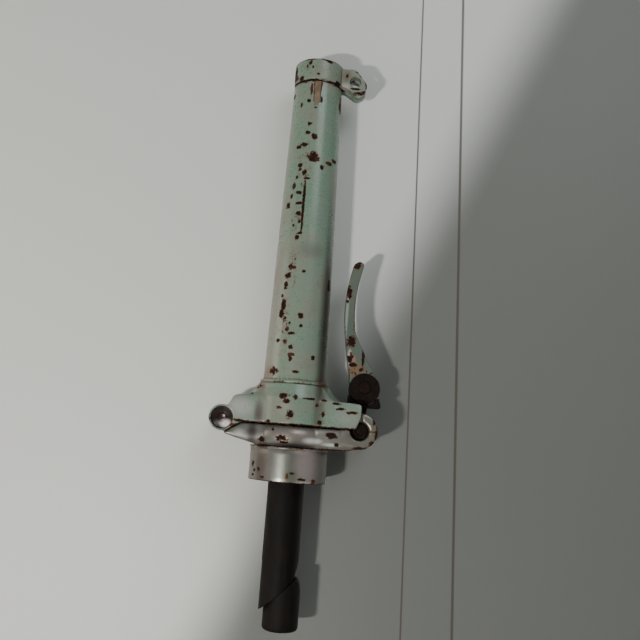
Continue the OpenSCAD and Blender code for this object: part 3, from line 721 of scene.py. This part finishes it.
@dataclass
class Maker:
    """Finishes pieces: shading, material, body and the CAD nodes that they stand for."""

    palette: Palette = field(default_factory=Palette)
    most_marks: int = 15

    def belts(self, mesh: bpy.types.Mesh, finish: object) -> list[tuple[float, float]]:
        """Return the height ranges that share one material, so that none holds too many marks."""
        if not isinstance(finish, WornPaintAndLight):
            return [(0.0, 0.0)]
        heights = [v.co.z for v in mesh.vertices]
        low, high = min(heights), max(heights) + MM
        inside = sorted(m.at[2] * MM for m in finish.marks if low < m.at[2] * MM < high)
        cuts = inside[self.most_marks::self.most_marks]
        return list(zip([low - MM, *cuts], [*cuts, high]))

    def finish(self, obj: bpy.types.Object, finish: object, slot: Slot, body: Body,
               nodes: tuple[str, ...], sharp: float = 32.0) -> bpy.types.Object:
        """Dress a piece and put it on its body.

        Args:
            obj: The piece.
            finish: The finish it takes.
            slot: Not used.
            body: The body it moves with.
            nodes: The CAD nodes that it replaces.
            sharp: The angle over which an edge is drawn hard.

        Returns:
            The piece.
        """
        mesh = obj.data
        mesh.shade_smooth()
        mesh.set_sharp_from_angle(angle=math.radians(sharp))
        mesh.materials.clear()
        for index, (low, high) in enumerate(self.belts(mesh, finish)):
            mesh.materials.append(self.palette.get(finish.part(low, high) if low < high else finish))
            for face in mesh.polygons:
                if low <= face.center.z < high:
                    face.material_index = index
        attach(obj, body.value)
        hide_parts(*nodes)
        LOG.info("%s: %d faces", obj.name, len(mesh.polygons))
        return obj


# ---------------------------------------------------------------- the post


@dataclass
class Post:
    """The tapered tube with its weld, its split clamp collar, its ears and its bush."""

    base_r: float = 22.3
    top_r: float = 17.6
    wall: float = 2.0
    foot_z: float = 46.0
    seam_z: float = 287.5
    top_z: float = 304.5
    bush_r: float = 15.5
    slit_z: float = 268.0
    slit_half: float = 1.6
    slit_end_r: float = 2.9

    def slit(self) -> list[bmesh.types.BMesh]:
        """Return the solids that cut the clamping slit and its round end."""
        drop = bmesh.new()
        turn = Matrix.Translation((0.016, 0, self.slit_z * MM)) @ Matrix.Rotation(math.pi / 2, 4, "Y")
        end_r, half = self.slit_end_r * MM, self.slit_half
        bmesh.ops.create_cone(drop, cap_ends=True, segments=40, radius1=end_r, radius2=end_r,
                              depth=0.016, matrix=turn)
        return [block((8, -half, self.slit_z), (24, half, self.top_z + 1)), drop]

    def build(self, maker: Maker) -> None:
        """Build and dress every piece of the post."""
        tube = as_object(spun([
            (self.base_r - self.wall, self.foot_z), (self.base_r, self.foot_z), (self.base_r, 67.0),
            (self.top_r, self.seam_z - 1.2), (self.top_r - 1.0, self.seam_z),
            (self.bush_r, self.seam_z), (self.bush_r, 258), (self.top_r - 1.4, 254),
        ], bevel_mm=0.0, fine_mm=5.0), "post_tube")
        cut(tube, [*self.slit(), block((-2.5, -24, 270.5), (2.5, -10, self.seam_z + 1))])
        maker.finish(tube, POST_PAINT, Slot.PAINT, Body.UPPER, ("tapered_tube",))
        collar = as_object(spun([
            (self.bush_r, self.seam_z), (16.5, self.seam_z), (18.1, self.seam_z + 1.4),
            (18.1, self.top_z - 1.2), (16.9, self.top_z), (self.bush_r, self.top_z),
        ], bevel_mm=0.45, fine_mm=3.0), "clamp_collar")
        cut(collar, self.slit())
        maker.finish(collar, POST_PAINT, Slot.PAINT, Body.UPPER, ("top_clamp_collar",))
        for end in ("front", "back"):
            ear = cast_copy(f"clamp_ear_{end}", f"ear_{end}", 0.3, 6)
            maker.finish(ear, EAR_PAINT, Slot.PAINT, Body.UPPER, (f"clamp_ear_{end}",))
        bush = cast_copy("guide_bush", "bush", 0.45, 2)
        maker.finish(bush, BUSH, Slot.BUSH, Body.UPPER, ("guide_bush",))
        self.weld(maker)

    def weld(self, maker: Maker) -> None:
        """Build the weld at the foot of the tube, with the ripples of its passes."""
        bm = spun([(22.3, 67.0), (24.0, 67.0), (24.3, 68.0), (23.7, 69.1), (22.3, 69.8)],
                  steps=288, bevel_mm=0.0, fine_mm=0.5)
        for vert in bm.verts:
            turn = math.atan2(vert.co.y, vert.co.x)
            ripple = 0.35 * math.sin(turn * 46 + 1.4 * math.sin(turn * 5)) + 0.3 * math.sin(turn * 7)
            lift = max(0.0, vert.co.z / MM - 67.0) / 2.8
            vert.co.z += ripple * lift * 0.55 * MM
            out = 1.0 + (ripple - 0.4) * 0.012 * min(1.0, lift * 3)
            if vert.co.to_2d().length > 22.5 * MM:
                vert.co.x *= out
                vert.co.y *= out
        weld = as_object(bm, "tube_weld")
        maker.finish(weld, POST_PAINT, Slot.PAINT, Body.UPPER, ("tube_weld_bead",), sharp=60)


@dataclass
class Hinge:
    """The two cast plates, the pin that joins them and its clip."""

    fold_x: float = -47.0
    fold_z: float = 40.3
    pin_r: float = 5.0
    floor_y: float = 16.3

    def build(self, maker: Maker) -> None:
        """Build and dress the plates and the pin."""
        upper = cast_copy("upper_hinge_plate", "upper_plate", 0.6, 8)
        maker.finish(upper, POST_PAINT, Slot.PAINT, Body.UPPER, ("upper_hinge_plate",), sharp=70)
        lower = cast_copy("lower_hinge_plate", "lower_plate", 0.6, 8)
        maker.finish(lower, SILVER_PAINT, Slot.SILVER, Body.LOWER, ("lower_hinge_plate",), sharp=70)
        head, front, back = 7.3, -self.floor_y - 2.2, self.floor_y + 2
        pin = spun([(0, front + 2.9), (2.4, front + 2.8), (3.1, front + 2.4), (3.3, front + 1.7),
                    (4.6, front + 1.4), (6.2, front + 0.4), (head - 0.3, front), (head, front + 0.3),
                    (head, front + 2.2), (self.pin_r, front + 2.2), (self.pin_r, back - 0.6),
                    (self.pin_r - 0.6, back), (0, back)], 96, 0.2)
        pin_obj = as_object(along_y(pin, self.fold_x, 0, self.fold_z), "fold_pin")
        maker.finish(pin_obj, CUPPED, Slot.BARE, Body.LOWER, ("hinge_pin",))
        low, high = self.floor_y, self.floor_y + 1.1
        clip = spun([(self.pin_r, low), (head, low), (head, high), (self.pin_r, high)], 72, 0.2)
        clip_obj = as_object(along_y(clip, self.fold_x, 0, self.fold_z), "fold_pin_clip")
        maker.finish(clip_obj, RUSTED, Slot.RUST, Body.LOWER, ("hinge_pin_clip",))


@dataclass
class Clamp:
    """The swing bolt, its pivot, the saddle, the cam and the lever."""

    pivot_x: float = 47.2
    pivot_z: float = 37.8
    floor_y: float = 14.6
    cam_x: float = 49.4
    cam_z: float = 68.4

    def build(self, maker: Maker) -> None:
        """Build and dress every piece of the clamp."""
        x, z, f = self.pivot_x, self.pivot_z, self.floor_y
        pin = spun([(0, -f - 0.6), (2.2, -f - 0.7), (2.6, -f - 1.2), (3.0, -f - 1.6), (5.6, -f - 1.6),
                    (6.2, -f - 1.0), (6.2, -f), (4.0, -f), (4.0, f + 1.3), (3.5, f + 1.8), (0, f + 1.8)],
                   96, 0.2)
        maker.finish(as_object(along_y(pin, x, 0, z), "pivot_pin"), GRIMY, Slot.BARE, Body.LOWER,
                     ("swing_pivot_pin",))
        clip = spun([(4.0, f), (6.2, f), (6.2, f + 1), (4.0, f + 1)], 72, 0.2)
        maker.finish(as_object(along_y(clip, x, 0, z), "pivot_clip"), RUSTED, Slot.RUST,
                     Body.LOWER, ("swing_pivot_clip",))
        cam_pin = spun([(0, -7.8), (3.9, -7.8), (4.2, -7.5), (4.2, 7.5), (3.9, 7.8), (0, 7.8)], 96, 0.1)
        maker.finish(as_object(along_y(cam_pin, self.cam_x, 0, self.cam_z), "cam_barrel"), GRIMY,
                     Slot.BARE, Body.SWING, ("cam_pin",))
        for node, name, body in (("swing_bolt", "eye_bolt", Body.SWING),
                                 ("cam_saddle", "saddle", Body.SWING),
                                 ("cam_head", "cam", Body.LEVER)):
            piece = cast_copy(node, name, 0.25, 4)
            maker.finish(piece, RUSTED, Slot.RUST, body, (node,), sharp=70)
        lever = cast_copy("cam_lever", "lever_arm", 0.3, 7)
        maker.finish(lever, LEVER_PAINT, Slot.PAINT, Body.LEVER, ("cam_lever",), sharp=70)


# The worn corners where the quill and the wedge meet, as outlines of X and Z to cut away
QUILL_CORNER: Outline = [(13.2, -51.8), (10.0, -66.25), (24, -66.25), (24, -51.8)]
WEDGE_TIP: Outline = [
    (10.4, -64.6), (12.2, -65.4), (13.7, -67), (14.7, -69.6), (15.3, -73), (15.56, -77),
    (24, -77), (24, -58), (10.4, -58),
]


@dataclass
class SteererEnd:
    """The skirt, the quill with its oblique cut, the expander bolt and the wedge."""

    skirt_r: float = 27.0
    quill_r: float = 12.7
    quill_wall: float = 2.2
    relief: float = 0.25
    relief_z: float = -54.0
    cut_mid_z: float = -75.25
    cut_turn: float = math.atan(23.5 / 25.4)
    wedge_x: float = 3.2
    room_r: float = 4.05

    def below_cut(self, keep_below: bool) -> bmesh.types.BMesh:
        """Return the block on one side of the oblique cut.

        Args:
            keep_below: Whether the block is the one above the cut, so that what is below stays.

        Returns:
            A block to cut with.
        """
        span = (0, 80) if keep_below else (-80, 0)
        drop = 0.35 if keep_below else 0.0
        bm = block((-60, -60, span[0]), (60, 60, span[1]))
        bmesh.ops.rotate(bm, verts=bm.verts, cent=(0, 0, 0),
                         matrix=Matrix.Rotation(-self.cut_turn, 3, "Y"))
        bmesh.ops.translate(bm, verts=bm.verts, vec=(0, 0, (self.cut_mid_z - drop) * MM))
        return bm

    def bolt_room(self, x_mm: float) -> bmesh.types.BMesh:
        """Return an upright rod that cuts the expander bolt's room at this X."""
        rod, rod_r = bmesh.new(), self.room_r * MM
        bmesh.ops.create_cone(rod, cap_ends=True, segments=64, radius1=rod_r, radius2=rod_r,
                              depth=0.3, matrix=Matrix.Translation((x_mm * MM, 0, 0)))
        return rod

    def build(self, maker: Maker) -> None:
        """Build and dress every piece of the steerer end."""
        r, q = self.skirt_r, self.quill_r
        skirt = spun([(12.5, 23.4), (12.5, 20.8), (r - 5.0, 20.8), (r - 2.6, 18.4), (r - 2.6, 0),
                      (r - 0.4, 0), (r, 0.4), (r, 21.2), (r - 0.8, 22.8), (r - 1.4, 23.4)],
                     160, 0.3, 3.0)
        maker.finish(as_object(skirt, "skirt"), SILVER_PAINT, Slot.SILVER, Body.LOWER,
                     ("headset_skirt",))
        bead = spun([(r - 0.8, 22.8), (r, 21.5), (r + 0.5, 22.5), (r + 0.4, 23.4), (r - 1.4, 23.4)],
                    160, 0.2, 1.0)
        maker.finish(as_object(bead, "skirt_bead"), SILVER_PAINT, Slot.SILVER, Body.LOWER,
                     ("skirt_weld_bead",))
        inner, slim = q - self.quill_wall, q - self.relief
        quill = as_object(spun([(inner, -89), (slim, -89), (slim, self.relief_z), (q, self.relief_z),
                                (q, 20), (12.5, 20), (12.5, 26), (inner, 26)], 144, 0.0, 5.0), "quill")
        cut(quill, [self.below_cut(False), plate(QUILL_CORNER, -20, 20)])
        maker.finish(quill, GREASED_AND_SHADED, Slot.GREASE, Body.LOWER, ("quill_tube",))
        wedge = spun([(0, -99.5), (10.1, -99.5), (11.6, -98.8), (12.3, -97.3), (12.3, -40), (0, -40)],
                     144, 0.5, 3.0)
        bmesh.ops.translate(wedge, verts=wedge.verts, vec=(self.wedge_x * MM, 0, 0))
        wedge_obj = as_object(wedge, "wedge_nut")
        holes = [self.bolt_room(0.0), self.bolt_room(self.wedge_x),
                 block((0, -self.room_r, -150), (self.wedge_x, self.room_r, 0))]
        cut(wedge_obj, [self.below_cut(True), *holes, plate(WEDGE_TIP, -20, 20)])
        maker.finish(wedge_obj, GREASED_AND_SHADED, Slot.GREASE, Body.WEDGE, ("expander_wedge",))
        bolt = as_object(spun([(0, -98), (3.4, -98), (4.0, -97.2), (4.0, 31.6), (6.5, 31.6), (6.5, 37.2),
                               (5.9, 37.8), (0, 37.8)], 96, 0.2), "long_bolt")
        socket = bmesh.new()
        bmesh.ops.create_cone(socket, cap_ends=True, segments=6, radius1=3.45 * MM, radius2=3.45 * MM,
                              depth=0.008, matrix=Matrix.Translation((0, 0, 0.0378)))
        cut(bolt, [socket])
        maker.finish(bolt, GREASED_AND_SHADED, Slot.GREASE, Body.SCREW, ("expander_bolt",))
        washer = spun([(4.3, 30), (7.8, 30), (7.8, 31.55), (4.3, 31.55)], 96, 0.2)
        maker.finish(as_object(washer, "bolt_washer"), BARE, Slot.BARE, Body.LOWER, ("expander_washer",))


# ---------------------------------------------------------------- stage


@dataclass
class Stage:
    """The pale surfaces, the lights and the camera."""

    wall_y: float = 0.0285
    floor_z: float = -0.245
    focal_mm: float = 46.7
    eye: Point = (0.0145, -0.589, 0.0306)
    pitch: float = 8.14
    roll: float = 4.45

    def panel(self, name: str, size: float, place: Matrix, finish: PalePanel) -> None:
        """Add a square panel to the stage."""
        bm = bmesh.new()
        bmesh.ops.create_grid(bm, x_segments=1, y_segments=1, size=size, matrix=place)
        obj = as_object(bm, name)
        obj.data.materials.append(finish.build())

    def lamp(self, name: str, at: Point, size: float, watts: float, tint: Point) -> None:
        """Add a square area light that looks at the middle of the post."""
        data = bpy.data.lights.new(name, "AREA")
        data.shape, data.size, data.energy, data.color = "SQUARE", size, watts, tint
        obj = bpy.data.objects.new(name, data)
        obj.location = at
        aim = Vector((0.0, 0.0, 0.09)) - Vector(at)
        obj.rotation_euler = aim.to_track_quat("-Z", "Y").to_euler()
        bpy.context.scene.collection.objects.link(obj)

    def camera(self) -> None:
        """Add the camera, pitched up along the post and rolled a little."""
        data = bpy.data.cameras.new("camera")
        data.sensor_width, data.lens = 36.0, self.focal_mm
        data.clip_start = 0.01
        obj = bpy.data.objects.new("camera", data)
        tilt, roll = math.radians(self.pitch), math.radians(self.roll)
        ahead = Vector((0, math.cos(tilt), math.sin(tilt)))
        up = Vector((0, -math.sin(tilt), math.cos(tilt)))
        side = Vector((1, 0, 0))
        right = side * math.cos(roll) + up * math.sin(roll)
        top = up * math.cos(roll) - side * math.sin(roll)
        turn = Matrix((right, top, -ahead)).transposed()
        obj.matrix_world = Matrix.Translation(self.eye) @ turn.to_4x4()
        bpy.context.scene.collection.objects.link(obj)
        bpy.context.scene.camera = obj

    def build(self) -> None:
        """Set up the floor, the wall, the lights, the sky and the camera."""
        upright = Matrix.Translation((0, self.wall_y, 0.1)) @ Matrix.Rotation(math.pi / 2, 4, "X")
        self.panel("pale_wall", 0.9, upright,
                   PalePanel("pale_wall", rgb(0.6, 0.61, 0.58), True, rgb(0.125, 0.131, 0.118),
                             ((0.0252, 0.0864, 0.0006), (0.0355, 0.1221, 0.0009))))
        self.panel("pale_floor", 2.5, Matrix.Translation((0, 0, self.floor_z)),
                   PalePanel("pale_floor", rgb(0.66, 0.66, 0.64)))
        self.lamp("key", (-0.36, -0.9, -0.26), 0.07, 25, (1.0, 0.98, 0.94))
        self.lamp("fill", (0.5, -1.0, 0.9), 0.6, 5, (0.93, 0.97, 1.0))
        self.lamp("left", (-0.8, -0.15, 0.15), 0.35, 1.6, (1.0, 0.84, 0.74))
        self.lamp("back", (-0.7, 0.9, 0.6), 0.8, 4, (1.0, 1.0, 1.0))
        self.lamp("back_low", (0.8, 0.8, 0.1), 0.8, 3, (1.0, 1.0, 1.0))
        world = bpy.data.worlds.new("studio")
        world.use_nodes = True
        world.node_tree.nodes["Background"].inputs[0].default_value = rgb(0.8, 0.82, 0.84)
        world.node_tree.nodes["Background"].inputs[1].default_value = 0.4
        bpy.context.scene.world = world
        self.camera()


def main() -> None:
    """Build every sub-assembly in order, then the stage."""
    logging.basicConfig(level=logging.INFO, format="%(name)s %(message)s")
    maker = Maker()
    for part in (Post(), Hinge(), Clamp(), SteererEnd()):
        LOG.info("building %s", type(part).__name__)
        part.build(maker)
    Stage().build()


if __name__ == "__main__":
    main()
